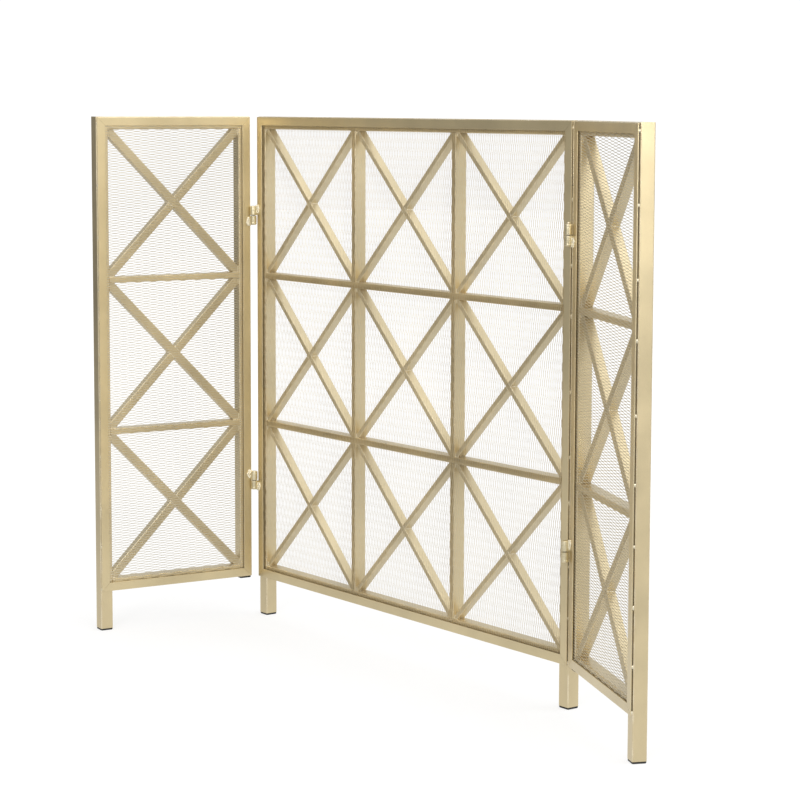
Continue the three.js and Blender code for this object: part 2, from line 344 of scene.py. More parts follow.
class Nodes:
    """A short way to build one material's node tree."""

    def __init__(self, name):
        self.material = bpy.data.materials.new(name)
        self.material.use_nodes = True
        self.tree = self.material.node_tree
        self.shader = self.tree.nodes["Principled BSDF"]
        self.coords = self.tree.nodes.new("ShaderNodeTexCoord").outputs["Object"]

    def node(self, kind, **inputs):
        made = self.tree.nodes.new("ShaderNode" + kind)
        for key, value in inputs.items():
            name = key.replace("_", " ")
            if name in made.inputs:
                self.put(made.inputs[name], value)
            else:
                setattr(made, key, value)
        return made

    def put(self, socket, value):
        if isinstance(value, bpy.types.NodeSocket):
            self.tree.links.new(value, socket)
        else:
            socket.default_value = value

    def noise(self, scale, detail=3.0, roughness=0.55, vector=None):
        made = self.node("TexNoise", Scale=scale, Detail=detail, Roughness=roughness)
        self.put(made.inputs["Vector"], vector if vector is not None else self.coords)
        return made.outputs["Fac"]

    def ramp(self, value, low, high, start, end):
        made = self.node("MapRange")
        keys = ("Value", "From Min", "From Max", "To Min", "To Max")
        for key, v in zip(keys, (value, low, high, start, end)):
            self.put(made.inputs[key], v)
        return made.outputs["Result"]

    def blend(self, share, first, second, mode="MIX"):
        made = self.node("Mix")
        made.data_type, made.blend_type = "RGBA", mode
        self.put(made.inputs[0], share)
        self.put(made.inputs[6], first)
        self.put(made.inputs[7], second)
        return made.outputs[2]

    def maths(self, how, first, second):
        made = self.node("Math", operation=how)
        self.put(made.inputs[0], first)
        self.put(made.inputs[1], second)
        return made.outputs[0]

    def stretched(self, x, y, z):
        made = self.node("Mapping", Vector=self.coords)
        made.inputs["Scale"].default_value = (x, y, z)
        return made.outputs["Vector"]

    def bump(self, height, strength, distance, under=None):
        made = self.node("Bump", Height=height, Strength=strength, Distance=distance)
        if under is not None:
            self.put(made.inputs["Normal"], under)
        return made.outputs["Normal"]

    def vector(self, how, first, second=None):
        made = self.node("VectorMath", operation=how)
        self.put(made.inputs[0], first)
        if second is not None:
            self.put(made.inputs[1], second)
        return made.outputs

    def edges(self):
        return self.node("Attribute", attribute_name="edge").outputs["Fac"]

    def finish(self, **inputs):
        """Give the shader's inputs their values or links, and hand the material over."""
        for key, value in inputs.items():
            self.put(self.shader.inputs[key.replace("_", " ")], value)
        return self.material


def painted_gold(name, tone, worn, roughness, metal, wear=1.0, peel=0.05):
    """Satin metallic paint: fine flake and orange peel, cloudy colour, brighter worn corners."""
    n = Nodes(name)
    clouds = n.noise(9, 4)
    flake = n.noise(1700, 2, 0.7)
    dark, light, spark = (scaled(tone, share) for share in (0.86, 1.07, 1.3))
    body = n.blend(n.ramp(clouds, 0.3, 0.7, 0.0, 1.0), dark, light)
    body = n.blend(n.ramp(flake, 0.45, 0.75, 0.0, 0.30), body, spark)
    rubbed = n.maths("MULTIPLY", n.edges(), n.ramp(n.noise(55, 4, 0.65), 0.42, 0.62, 0.15 * wear, wear))
    dull = n.ramp(n.noise(26, 5, 0.6), 0.3, 0.7, roughness - 0.05, roughness + 0.06)
    skin = n.bump(n.noise(420, 3, 0.5), peel, 0.0004)
    return n.finish(
        Base_Color=n.blend(rubbed, body, worn),
        Roughness=n.maths("SUBTRACT", dull, n.maths("MULTIPLY", rubbed, 0.12)),
        Metallic=metal, Coat_Weight=0.25, Coat_Roughness=0.28,
        Normal=n.bump(flake, 0.06, 0.0002, skin),
    )


GOLD = linear(218, 201, 161)
WORN = linear(244, 230, 198)
frame_gold = painted_gold("frame_gold", GOLD, WORN, 0.34, 0.86)
brace_gold = painted_gold("brace_gold", linear(213, 198, 162), WORN, 0.42, 0.86)
retainer_gold = painted_gold("retainer_gold", linear(220, 203, 162), WORN, 0.33, 0.86)
# the frame's paint made paler for the welds: painted highlight on their lumps
weld_gold = painted_gold("weld_gold", linear(236, 227, 204), WORN, 0.30, 0.85, 0.8, 0.22)
# the sheet's paint made paler than the frame's: painted glow round the backlit sheet and painted highlight
# on its strands
sheet_gold = painted_gold("sheet_gold", linear(219, 209, 184), WORN, 0.40, 0.72, 0.2)


def bright_hinge():
    """Brass-coloured plating with fine turning marks round the barrel."""
    n = Nodes("hinge_gold")
    rings = n.noise(1.0, 3, 0.7, n.stretched(30, 30, 1500))
    tone = n.blend(n.ramp(n.noise(90, 4), 0.3, 0.7, 0.0, 1.0), linear(210, 197, 160), linear(236, 224, 190))
    rubbed = n.maths("MULTIPLY", n.edges(), n.ramp(n.noise(160, 3), 0.35, 0.65, 0.2, 0.9))
    return n.finish(
        Base_Color=n.blend(rubbed, tone, linear(250, 240, 214)),
        Roughness=n.ramp(rings, 0.3, 0.7, 0.24, 0.36), Metallic=1.0,
        Normal=n.bump(rings, 0.12, 0.0002),
    )


def brushed_steel():
    """Steel of the hinge pins with fine turning marks."""
    n = Nodes("pin_steel")
    lines = n.noise(1.0, 4, 0.7, n.stretched(60, 60, 2400))
    return n.finish(
        Base_Color=n.blend(n.ramp(lines, 0.3, 0.7, 0.0, 1.0), linear(92, 92, 95), linear(140, 141, 144)),
        Roughness=n.ramp(lines, 0.3, 0.7, 0.22, 0.36), Metallic=1.0,
        Normal=n.bump(lines, 0.15, 0.0002),
    )


def moulded_plastic():
    """Black plastic with a fine grain, scuffed grey on its corners."""
    n = Nodes("black_plastic")
    scuffed = n.maths("MULTIPLY", n.edges(), n.ramp(n.noise(140, 4), 0.4, 0.65, 0.0, 0.7))
    tone = n.blend(n.ramp(n.noise(40, 3), 0.3, 0.7, 0.0, 1.0), linear(12, 11, 11), linear(22, 21, 20))
    return n.finish(
        Base_Color=n.blend(scuffed, tone, linear(48, 46, 43)),
        Roughness=n.ramp(n.noise(70, 3), 0.3, 0.7, 0.42, 0.6),
        Normal=n.bump(n.noise(900, 3, 0.6), 0.25, 0.0002),
    )


hinge_gold = bright_hinge()
pin_steel = brushed_steel()
black_plastic = moulded_plastic()


# ---- frame tubes ------------------------------------------------------------------------------

TUBE_OUTER = rounded(TUBE, TUBE, TUBE_CORNER)
TUBE_INNER = rounded(TUBE - 2 * TUBE_WALL, TUBE - 2 * TUBE_WALL, TUBE_CORNER - TUBE_WALL)
BAR_OUTER = rounded(BAR_FACE, TUBE, BAR_CORNER)
HALF = TUBE / 2


def cells(start, end, count):
    """Size of count equal cells between bars, and where each starts."""
    size = (end - start - (count - 1) * BAR_FACE) / count
    return size, [start + i * (size + BAR_FACE) for i in range(count)]


ROW_SIZE, ROW_STARTS = cells(FRAME_BOTTOM + TUBE, HEIGHT - TUBE, ROWS)


def post_names(panel):
    if panel.side == 0:
        return ("left_post", "right_post")
    return ("outer_post", "hinge_post") if panel.side < 0 else ("hinge_post", "outer_post")


def has_leg(panel, side):
    return panel.side in (0, side)


def frame_tubes(panel):
    for side, name in zip((-1, 1), post_names(panel)):
        centre = HALF if side < 0 else panel.width - HALF
        foot = CAP_FLANGE + CAP_GAP if has_leg(panel, side) else FRAME_BOTTOM
        shape = Shape()
        prism(shape, TUBE_OUTER, lambda a, b, t: (centre + a, HALF + b, t), foot,
              lambda a, b: HEIGHT - HALF + side * a, TUBE_INNER)
        piece(f"{panel.name}_{name}_tube", shape, panel.matrix, panel.body, frame_gold,
              [f"{panel.name}_{name}"])
    shape = Shape()
    prism(shape, TUBE_OUTER, lambda a, b, t: (t, HALF + b, HEIGHT - HALF + a),
          lambda a, b: HALF - a, lambda a, b: panel.width - HALF + a, TUBE_INNER)
    piece(f"{panel.name}_top_rail_tube", shape, panel.matrix, panel.body, frame_gold,
          [f"{panel.name}_top_rail"])
    shape = Shape()
    prism(shape, TUBE_OUTER, lambda a, b, t: (t, HALF + b, FRAME_BOTTOM + HALF + a),
          TUBE, panel.width - TUBE, TUBE_INNER)
    piece(f"{panel.name}_bottom_rail_tube", shape, panel.matrix, panel.body, frame_gold,
          [f"{panel.name}_bottom_rail"])


def half_outline(front):
    """Outline of a bar halved for a crossing: only the meshed half (front) or the room half of it."""
    kept = [(a, b, v) for a, b, v in BAR_OUTER if (b < -0.01 if front else b > 0.01)]
    left, right = (-BAR_FACE / 2, 0.0, 0.0), (BAR_FACE / 2, 0.0, 0.0)
    return kept + [right, left] if front else kept + [left, right]


def grid_bars(panel):
    _, columns = cells(TUBE, panel.width - TUBE, panel.columns)
    crossings = [x - BAR_FACE for x in columns[1:]]
    for row, name in zip(range(1, ROWS), ("lower_rail", "upper_rail")):
        middle = ROW_STARTS[row] - BAR_FACE / 2
        shape = Shape()

        def level(a, b, t, middle=middle):
            return (t, HALF + b, middle + a)

        stops = [TUBE] + [x for c in crossings for x in (c, c + BAR_FACE)] + [panel.width - TUBE]
        for start, end in zip(stops[::2], stops[1::2]):
            prism(shape, BAR_OUTER, level, start, end)
        for c in crossings:
            prism(shape, half_outline(True), level, c, c + BAR_FACE)
        piece(f"{panel.name}_{name}_bar", shape, panel.matrix, panel.body, frame_gold,
              [f"{panel.name}_{name}"])
    for c, name in zip(crossings, ("left_mullion", "right_mullion")):
        shape = Shape()

        def upright(a, b, t, c=c):
            return (c + BAR_FACE / 2 + a, HALF + b, t)

        for row in range(ROWS):
            prism(shape, BAR_OUTER, upright, ROW_STARTS[row], ROW_STARTS[row] + ROW_SIZE)
            if row:
                prism(shape, half_outline(False), upright, ROW_STARTS[row] - BAR_FACE, ROW_STARTS[row])
        piece(f"{panel.name}_{name}_bar", shape, panel.matrix, panel.body, frame_gold,
              [f"{panel.name}_{name}"])


# ---- diagonal braces --------------------------------------------------------------------------

def brace_arm(shape, panel, centre, half, along, lean, start):
    """One straight bar of a brace: from start, a distance from the crossing's centre, to the cell
    corner in the direction (along, lean), its end cut to the corner's two faces."""
    length = math.hypot(*half)
    d = (along * half[0] / length, lean * half[1] / length)
    n = (-d[1], d[0])
    middle = (panel.brace_front + panel.brace_back) / 2

    def tip(a, b):
        by_side = (half[0] - along * a * n[0]) / abs(d[0])
        by_level = (half[1] - lean * a * n[1]) / abs(d[1])
        return min(by_side, by_level)

    def place(a, b, t):
        return (centre[0] + t * d[0] + a * n[0], middle + b, centre[1] + t * d[1] + a * n[1])

    prism(shape, rounded(panel.brace_face, panel.brace_depth, BRACE_CORNER), place, start, tip)


def crossing(panel, half):
    """How far along a half bar its middle line enters the through bar, and the sine of their angle."""
    cross = 2 * half[0] * half[1] / (half[0] ** 2 + half[1] ** 2)
    return panel.brace_face / 2 / cross, cross


def braces(panel):
    size, columns = cells(TUBE, panel.width - TUBE, panel.columns)
    half = (size / 2, ROW_SIZE / 2)
    reach, cross = crossing(panel, half)
    for row, level in enumerate(("bottom", "middle", "top")):
        for column in range(panel.columns):
            place = f"_{('left', 'centre', 'right')[column]}" if panel.columns > 1 else ""
            centre = (columns[column] + half[0], ROW_STARTS[row] + half[1])
            shape = Shape()
            for along, lean, start in ((1, -1, 0.0), (-1, 1, 0.0), (1, 1, None), (-1, -1, None)):
                begin = reach - BRACE_CORNER / cross if start is None else start
                brace_arm(shape, panel, centre, half, along, lean, begin)
            piece(f"{panel.name}_x_brace_{level}{place}_bars", shape, panel.matrix, panel.body, brace_gold,
                  [f"{panel.name}_x_brace_{level}{place}"])


# ---- welds ------------------------------------------------------------------------------------

FRONT = Vector((0, 1, 0))


def welds(panel):
    """Beads where rails, mullions and braces meet, and tacks that hold the retaining frame on."""
    shape = Shape()
    size, columns = cells(TUBE, panel.width - TUBE, panel.columns)
    half = (size / 2, ROW_SIZE / 2)
    for row in range(ROWS):
        for column in range(panel.columns):
            centre = (columns[column] + half[0], ROW_STARTS[row] + half[1])
            for along in (-1, 1):
                for lean in (-1, 1):
                    corner_beads(shape, panel, centre, half, along, lean)
            cross_beads(shape, panel, centre, half)
    retainer_tacks(shape, panel)
    piece(f"{panel.name}_welds", shape, panel.matrix, panel.body, weld_gold, sharp=80,
          weighted=False)


def corner_beads(shape, panel, centre, half, along, lean):
    """Beads in one corner of a cell: round the brace's tip on both faces and down the corner itself."""
    length = math.hypot(*half)
    reach = panel.brace_face / 2 * length / half[1]
    rise = panel.brace_face / 2 * length / half[0]
    cx, cz = centre[0] + along * half[0], centre[1] + lean * half[1]
    deep, short, inset = 0.35, 1.6, 0.25
    x, z = cx - along * deep, cz - lean * deep
    bead(shape, [(x, short, z), (x, panel.brace_front, z)], 0.85)
    bead(shape, [(x, panel.brace_back, z), (x, TUBE - short, z)], 0.85)
    for face in (panel.brace_front, panel.brace_back):
        bead(shape, [
            (cx - along * (reach + 0.6), face, cz - lean * inset),
            (cx - along * inset, face, cz - lean * inset),
            (cx - along * inset, face, cz - lean * (rise + 0.6)),
        ], 0.95, lie=FRONT)


def cross_beads(shape, panel, centre, half):
    """Beads where the two half bars of a brace meet the through bar. One seam is three lumps."""
    length = math.hypot(*half)
    d = (half[0] / length, -half[1] / length)
    up = (half[0] / length, half[1] / length)
    base, cross = crossing(panel, half)
    front, back = panel.brace_front, panel.brace_back
    along = panel.brace_face / 2 / cross
    for sign in (-1, 1):
        foot = (centre[0] + sign * up[0] * base, centre[1] + sign * up[1] * base)
        for side in (-1, 1):
            x, z = foot[0] + side * d[0] * along, foot[1] + side * d[1] * along
            if (sign, side) == (-1, -1):
                for part in (0.15, 0.5, 0.85):
                    y = front + part * (back - front) + random.uniform(-0.8, 0.8)
                    blob(shape, (x, y, z), (1.5, random.uniform(1.4, 2.2), 1.6), 0.22)
            else:
                bead(shape, [(x, front + 0.8, z), (x, back - 0.8, z)], 0.7)
        for y in (front + 0.15, back - 0.15):
            reach = along - 0.8
            bead(shape, [(foot[0] - d[0] * reach, y, foot[1] - d[1] * reach),
                         (foot[0] + d[0] * reach, y, foot[1] + d[1] * reach)], 0.75, lie=FRONT)


def retainer_tacks(shape, panel):
    """Tack welds in the slit between the retaining frame and the tubes, on all four edges."""
    y = (RETAINER_BACK + 0.3) / 2
    for x in (TACK_INSET, panel.width - TACK_INSET):
        stray = 0 if panel is RIGHT and x > TUBE else TACK_STRAY
        for z in TACK_HEIGHTS:
            z += random.uniform(-stray, stray) if abs(z - HEIGHT / 2) < TACK_STEADY else 0
            blob(shape, (x, y, z), (0.5, 1.2, random.uniform(1.8, 3.0)))
    for z in (FRAME_BOTTOM + TACK_INSET, HEIGHT - TACK_INSET):
        x = random.uniform(5, 20)
        while x < panel.width - 5:
            blob(shape, (x, y, z), (random.uniform(1.8, 3.0), 1.2, 0.5))
            x += random.uniform(*TACK_STEP)


# ---- retaining frame, sheets and caps ---------------------------------------------------------

def retainer(panel):
    """Four flat bars with mitred corners in front of the sheet."""
    shape = Shape()
    outline = rounded(RETAINER_FACE, RETAINER_BACK - RETAINER_FRONT, RETAINER_CORNER, 3)
    y = (RETAINER_BACK + RETAINER_FRONT) / 2
    reach = RETAINER_SETBACK + RETAINER_FACE / 2
    seam = 0.12
    low, high = FRAME_BOTTOM + reach, HEIGHT - reach
    for side, x in ((1, reach), (-1, panel.width - reach)):
        prism(shape, outline, lambda a, b, t: (x + a, y + b, t),
              lambda a, b: low + side * a + seam, lambda a, b: high - side * a - seam)
    for side, z in ((1, low), (-1, high)):
        prism(shape, outline, lambda a, b, t: (t, y + b, z + a),
              lambda a, b: reach + side * a + seam, lambda a, b: panel.width - reach - side * a - seam)
    piece(f"{panel.name}_mesh_retainer_bars", shape, panel.matrix, panel.body, retainer_gold,
          [f"{panel.name}_mesh_retainer"])


def sheet_network(length, breadth, turn):
    """Expanded metal with its openings along s: corner points, bonds and strands as flat polygons.
    Every opening is a long hexagon. Two strands part at each end of a bond. turn is the way they twist."""
    first = -2
    ni, nj = int(length / (LONG_WAY / 2)) + 4, int(breadth / (SHORT_WAY / 2)) + 4
    i, j = np.meshgrid(np.arange(first, ni), np.arange(first, nj), indexing="ij")
    s = i * LONG_WAY / 2 + (length - int(length / LONG_WAY) * LONG_WAY) / 2
    t = j * SHORT_WAY / 2 + (breadth - int(breadth / SHORT_WAY) * SHORT_WAY) / 2
    half, tip, rise = BOND / 2, LONG_WAY / 2 - BOND / 2, SHORT_WAY / 2 - STRAND
    offsets = np.array([
        (tip, 0, 0), (half, rise, -1), (-half, rise, -1), (-tip, 0, 0), (-half, -rise, 1), (half, -rise, 1),
    ])
    points = np.stack([
        s[..., None] + offsets[:, 0], t[..., None] + offsets[:, 1],
        np.broadcast_to(offsets[:, 2] * turn * SHEET_RISE / 2, s.shape + (6,)),
    ], axis=-1)

    def index(di, dj, corner):
        return ((i + di - first) * (nj - first) + (j + dj - first)) * 6 + corner

    inside = ((i + j) % 2 == 0) & (i > first) & (i < ni - 1) & (j < nj - 2)
    bond_s, bond_t = s, t + SHORT_WAY / 2
    edge = SHEET_MARGIN
    fits = inside & (bond_s > edge) & (bond_s < length - edge) & (bond_t > edge) & (bond_t < breadth - edge)
    up_fits = fits & (bond_s + LONG_WAY / 2 < length - edge) & (bond_t + SHORT_WAY / 2 < breadth - edge)
    down_fits = fits & (bond_s + LONG_WAY / 2 < length - edge) & (bond_t - SHORT_WAY / 2 > edge)
    bonds = np.stack([index(0, 0, 2), index(0, 0, 1), index(1, 1, 3), index(0, 2, 5), index(0, 2, 4),
                      index(-1, 1, 0)], axis=-1)[fits]
    up = np.stack([index(1, 1, 3), index(1, 1, 2), index(0, 2, 0), index(0, 2, 5)], axis=-1)[up_fits]
    down = np.stack([index(0, 0, 1), index(0, 0, 0), index(1, 1, 4), index(1, 1, 3)], axis=-1)[down_fits]
    return points.reshape(-1, 3), bonds, up, down


def sheet_solid(points, polygons, place):
    """A closed mesh of the polygons thickened to the sheet's gauge, with a wall along every free edge."""
    used = np.unique(np.concatenate([p.ravel() for p in polygons]))
    renumber = np.full(len(points), -1)
    renumber[used] = np.arange(len(used))
    polygons = [renumber[p] for p in polygons]
    count = len(used)
    flat = points[used]
    front = [place(s, t, depth - SHEET_GAUGE / 2) for s, t, depth in flat]
    back = [place(s, t, depth + SHEET_GAUGE / 2) for s, t, depth in flat]
    edges = np.concatenate([
        np.stack([p, np.roll(p, -1, axis=1)], axis=-1).reshape(-1, 2) for p in polygons
    ])
    keys = np.sort(edges, axis=1)
    keys = keys[:, 0].astype(np.int64) * count + keys[:, 1]
    _, first, times = np.unique(keys, return_index=True, return_counts=True)
    free = edges[first[times == 1]]
    faces = []
    for p in polygons:
        faces += p.tolist()
        faces += (p[:, ::-1] + count).tolist()
    walls = np.stack([free[:, 1], free[:, 0], free[:, 0] + count, free[:, 1] + count], axis=-1)
    faces += walls.tolist()
    return front + back, faces


def sheet(panel):
    """The expanded sheet of a panel, in strips, with a plain margin. The openings run across a wing
    and up the middle panel."""
    across = panel.side != 0
    width, height = panel.width - 2 * SHEET_SETBACK, HEIGHT - FRAME_BOTTOM - 2 * SHEET_SETBACK
    length, breadth = (width, height) if across else (height, width)
    points, bonds, up, down = sheet_network(length, breadth, 1 if panel is RIGHT else -1)

    def place(s, t, depth):
        x, z = (s, t) if across else (t, s)
        return (SHEET_SETBACK + x, SHEET_MIDDLE + depth, FRAME_BOTTOM + SHEET_SETBACK + z)

    parts = 1 if across else 3
    for k in range(parts):
        low, high = breadth * k / parts, breadth * (k + 1) / parts
        chosen = []
        for group in (bonds, up, down):
            mean = points[group][:, :, 1].mean(axis=1)
            chosen.append(group[(mean >= low) & (mean < high)])
        solid_points, faces = sheet_solid(points, chosen, place)
        name = f"{panel.name}_mesh_sheet" + ("" if parts == 1 else f"_{('left', 'centre', 'right')[k]}")
        fast_piece(name, solid_points, faces, panel, sheet_gold,
                   [f"{panel.name}_mesh"] if k == 0 else [])
    sheet_margin(panel)


def sheet_margin(panel):
    """The plain strip round an expanded sheet, a little wider than the margin so that strands end in it."""
    shape = Shape()
    strip = SHEET_MARGIN + 1.0
    x0, x1 = SHEET_SETBACK + strip / 2, panel.width - SHEET_SETBACK - strip / 2
    z0, z1 = FRAME_BOTTOM + SHEET_SETBACK + strip / 2, HEIGHT - SHEET_SETBACK - strip / 2
    outline = rounded(strip, SHEET_GAUGE, SHEET_GAUGE * 0.3, 2)
    for x, side in ((x0, 1), (x1, -1)):
        prism(shape, outline, lambda a, b, t: (x + a, SHEET_MIDDLE + b, t),
              lambda a, b: z0 + side * a, lambda a, b: z1 - side * a)
    for z, side in ((z0, 1), (z1, -1)):
        prism(shape, outline, lambda a, b, t: (t, SHEET_MIDDLE + b, z + a),
              lambda a, b: x0 + side * a, lambda a, b: x1 - side * a)
    piece(f"{panel.name}_mesh_margin", shape, panel.matrix, panel.body, sheet_gold)


def fast_piece(name, points, faces, panel, material, nodes):
    """A piece made straight from long lists of points and faces, without softened normals."""
    mesh = bpy.data.meshes.new(name)
    mesh.from_pydata((np.array(points, np.float64) * MM).tolist(), [], faces)
    mesh.transform(panel.matrix)
    mesh.materials.append(material)
    mesh.attributes.new("edge", "FLOAT", "POINT")
    obj = bpy.data.objects.new(name, mesh)
    bpy.context.scene.collection.objects.link(obj)
    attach(obj, panel.body)
    if nodes:
        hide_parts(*nodes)


def end_caps(panel):
    """Square plastic caps: a flange with softened edges and a ribbed plug up inside the tube."""
    for side, name in zip((-1, 1), post_names(panel)):
        leg = has_leg(panel, side)
        x = HALF if side < 0 else panel.width - HALF
        top = CAP_FLANGE if leg else FRAME_BOTTOM - CAP_GAP
        shape = Shape()

        def put(a, b, t):
            return (x + a, HALF + b, top + t)

        levels = (
            (-CAP_FLANGE, 1.0), (-CAP_FLANGE + 0.35, 0.25), (-CAP_FLANGE + 0.9, 0.0),
            (-0.3, 0.0), (0.0, 0.3),
        )
        rings = []
        for _, inset in levels:
            width = CAP_SIDE - 2 * inset
            rings.append(rounded(width, width, CAP_CORNER - inset))
        n = len(rings[0])
        points, faces, edge = [], [], []
        for (t, inset), ring in zip(levels, rings):
            points += [put(a, b, t) for a, b, _ in ring]
            edge += [max(v, 0.6 if 0 < inset < 1 else 0.0) for _, _, v in ring]
        for low in range(0, (len(rings) - 1) * n, n):
            for i in range(n):
                j = (i + 1) % n
                faces.append([low + i, low + j, low + n + j, low + n + i])
        faces.append(list(range(n))[::-1])
        faces.append([(len(rings) - 1) * n + i for i in range(n)])
        shape.add(points, faces, edge)
        core = CAP_PLUG_SIDE - 2 * CAP_RIB
        prism(shape, rounded(core, core, 0.8, 3), put, -0.2, CAP_PLUG_HEIGHT)
        for rib in (2.5, 6.5, 10.5):
            prism(shape, rounded(CAP_PLUG_SIDE, CAP_PLUG_SIDE, 0.8, 3), put, rib, rib + 1)
        kind = "foot" if leg else "plug"
        piece(f"{panel.name}_{name}_{kind}_cap", shape, panel.matrix, panel.body, black_plastic,
              [f"{panel.name}_{name}_{kind}"], sharp=50)


# ---- hinges -----------------------------------------------------------------------------------

def hinge_frame(side, turned):
    """From hinge millimetres (axis at the origin, meshed side towards -y) to the world."""
    pos = JOINTS["left_wing_fold" if side < 0 else "right_wing_fold"]["pos_m"]
    fold = math.radians(-side * (LEFT_FOLD if side < 0 else RIGHT_FOLD)) if turned else 0.0
    return Matrix.Translation(Vector((pos[0], pos[1], 0))) @ Matrix.Rotation(fold, 4, "Z")


def barrel_half(shape, height, up, side):
    """One half of a weld-on barrel, with its mouth at the joint line, and the strip it is welded by."""
    radius, mouth, end = BARREL_RADIUS, BARREL_PLAY, BARREL_LENGTH
    bore, pin_top, near_axis = PIN_RADIUS + 0.1, end - PIN_END, 0.02
    dome = []
    for turn in range(0, 90, 15):
        q = math.radians(turn)
        dome.append((radius * math.cos(q), end - DOME_HEIGHT + DOME_HEIGHT * math.sin(q),
                     0.3 + 0.5 * math.sin(2 * q)))
    groove = end - GROOVE_FROM_END
    outer = [
        (radius - 0.6, mouth, 0.0), (radius - 0.1, mouth + 0.3, 0.5), (radius, mouth + 0.6, 0.3),
        (radius, groove - 0.5, 0.0), (radius - 0.25, groove - 0.2, 0.3),
        (radius - 0.25, groove + 0.2, 0.3), (radius, groove + 0.5, 0.1),
    ] + dome
    inner = [
        (near_axis, end, 0.0), (near_axis, pin_top + 0.3, 0.0),
        (bore, pin_top + 0.1, 0.0), (bore, mouth, 0.3),
    ]
    profile = [(r, up * z, v) for r, z, v in outer + inner]
    lathe(shape, profile, (0, 0, height), closed=True)
    low, high = sorted((up * (mouth + 0.2), up * (end - 1.2)))
    near, far = FOOT_FRONT, HINGE_AXIS_OUT + RETAINER_FRONT

    def strip(a, b, t):
        return (side * (FOOT_FAR + FOOT_NEAR) / 2 + a, (near + far) / 2 + b, height + t)

    prism(shape, rounded(FOOT_FAR - FOOT_NEAR, far - near, 0.4, 3), strip, low, high)


def hinge_welds(shape, height, up, side):
    """Lumpy welds that run from the barrel out over the retaining frame of one post."""
    face = HINGE_AXIS_OUT + RETAINER_FRONT
    start, run, lumps = 4.2, 10.5, 7
    for k in range(lumps):
        part = k / (lumps - 1)
        z = height + up * (start + run * part)
        reach = 5.6 + 2.2 * math.sin(math.pi * part) + random.uniform(-0.5, 0.5)
        blob(shape, (side * reach, face - 0.9, z),
             (random.uniform(2.0, 2.9), random.uniform(1.5, 2.1), random.uniform(1.3, 1.9)), 0.2)
        blob(shape, (side * (reach - 2.2), face - 2.1, z + random.uniform(-0.4, 0.4)),
             (random.uniform(1.5, 2.0), random.uniform(1.3, 1.8), random.uniform(1.1, 1.6)), 0.2)


def hinges(side, wing):
    label = "left" if side < 0 else "right"
    for place, height in (LEFT_HINGES if side < 0 else RIGHT_HINGES).items():
        middle_up = 1 if place == "upper" else -1
        for who, body, up, post_side, turned in (
            ("middle_half", "middle_panel", middle_up, -side, False),
            ("wing_half", wing.body, -middle_up, side, True),
        ):
            name = f"{label}_{place}_hinge_{who}"
            matrix = hinge_frame(side, turned)
            shape = Shape()
            barrel_half(shape, height, up, post_side)
            piece(f"{name}_barrel", shape, matrix, body, hinge_gold, [name], sharp=50)
            shape = Shape()
            hinge_welds(shape, height, up, post_side)
            piece(f"{name}_welds", shape, matrix, body, weld_gold, sharp=80, weighted=False)
        name = f"{label}_{place}_hinge_pin"
        shape = Shape()
        length, bevel = BARREL_LENGTH - PIN_END, 0.4
        profile = [(PIN_RADIUS - bevel, -length, 0.5), (PIN_RADIUS, -length + bevel, 0.5),
                   (PIN_RADIUS, length - bevel, 0.5), (PIN_RADIUS - bevel, length, 0.5)]
        lathe(shape, profile, (0, 0, height), 32)
        rides = wing.body if place == "upper" else "middle_panel"
        piece(f"{name}_turned", shape, hinge_frame(side, False), rides, pin_steel, [name],
              sharp=60)


for panel in PANELS:
    frame_tubes(panel)
    grid_bars(panel)
    braces(panel)
    welds(panel)
    retainer(panel)
    sheet(panel)
    end_caps(panel)
hinges(-1, LEFT)
hinges(1, RIGHT)


# ---- stage, lights and camera -----------------------------------------------------------------

DOORWAY = Vector((-0.92, -0.38, 0.04)).normalized()     # towards the darkest part of the room
FLOOR_WHITE = 0.30         # how much of the light the seen floor throws back
FLOOR_GLOW = (0.70, 0.83)  # and what it gives off, near the object and far from it
STAGE_REACH = 14           # metres from the object to the backdrop

CAMERA_PLACE = Vector((2.5115, -1.8580, 0.7911))
CAMERA_TURN = (52.817, -6.085, 0.157)       # degrees to the left of +y, above level, and rolled
CAMERA_LENS = 104.889
CAMERA_SENSOR = 36
CAMERA_SHIFT = -0.0625


def stage_object(name, mesh, material):
    obj = bpy.data.objects.new(name, mesh)
    bpy.context.scene.collection.objects.link(obj)
    mesh.materials.append(material)
    return obj


def backdrop_white():
    n = Nodes("backdrop_white")
    return n.finish(Base_Color=(0, 0, 0, 1), Roughness=0.9, Specular_IOR_Level=0.1,
                    Emission_Color=(1, 1, 1, 1), Emission_Strength=1.05)


def painted_light_floor():
    """Painted light and shade for the object to reflect: a glow brightest round the object that fades to
    the right and into a dim room on the far left.
    """
    n = Nodes("floor_grey")
    from_left = n.vector("DOT_PRODUCT", n.coords, Vector((0.9, 0.43, 0)))["Value"]
    to_right = n.vector("DOT_PRODUCT", n.coords, Vector((0.95, -0.3, 0)))["Value"]
    # painted light: the glow is strongest round the object and fades to the right and to the far left
    painted_pool = n.maths("MULTIPLY", n.ramp(from_left, -3.2, 0.2, 0.45, 0.85),
                  n.ramp(to_right, 0.7, 1.8, 1.0, 0.58))
    heading = n.vector("NORMALIZE", n.coords)["Vector"]
    # painted shade: the glow dims in the doorway's direction, far from the object
    doorway_painted_shade = n.ramp(n.vector("DOT_PRODUCT", heading, DOORWAY)["Value"], 0.93, 0.985, 0.0, 0.75)
    distance = n.ramp(n.vector("LENGTH", n.coords)["Value"], 1.5, 4.0, 0.0, 1.0)
    open_share = n.maths("SUBTRACT", 1.0, n.maths("MULTIPLY", doorway_painted_shade, distance))
    return n.finish(Base_Color=(0, 0, 0, 1), Specular_IOR_Level=0, Emission_Color=(1, 1, 1, 1),
                    Emission_Strength=n.maths("MULTIPLY", painted_pool, open_share))


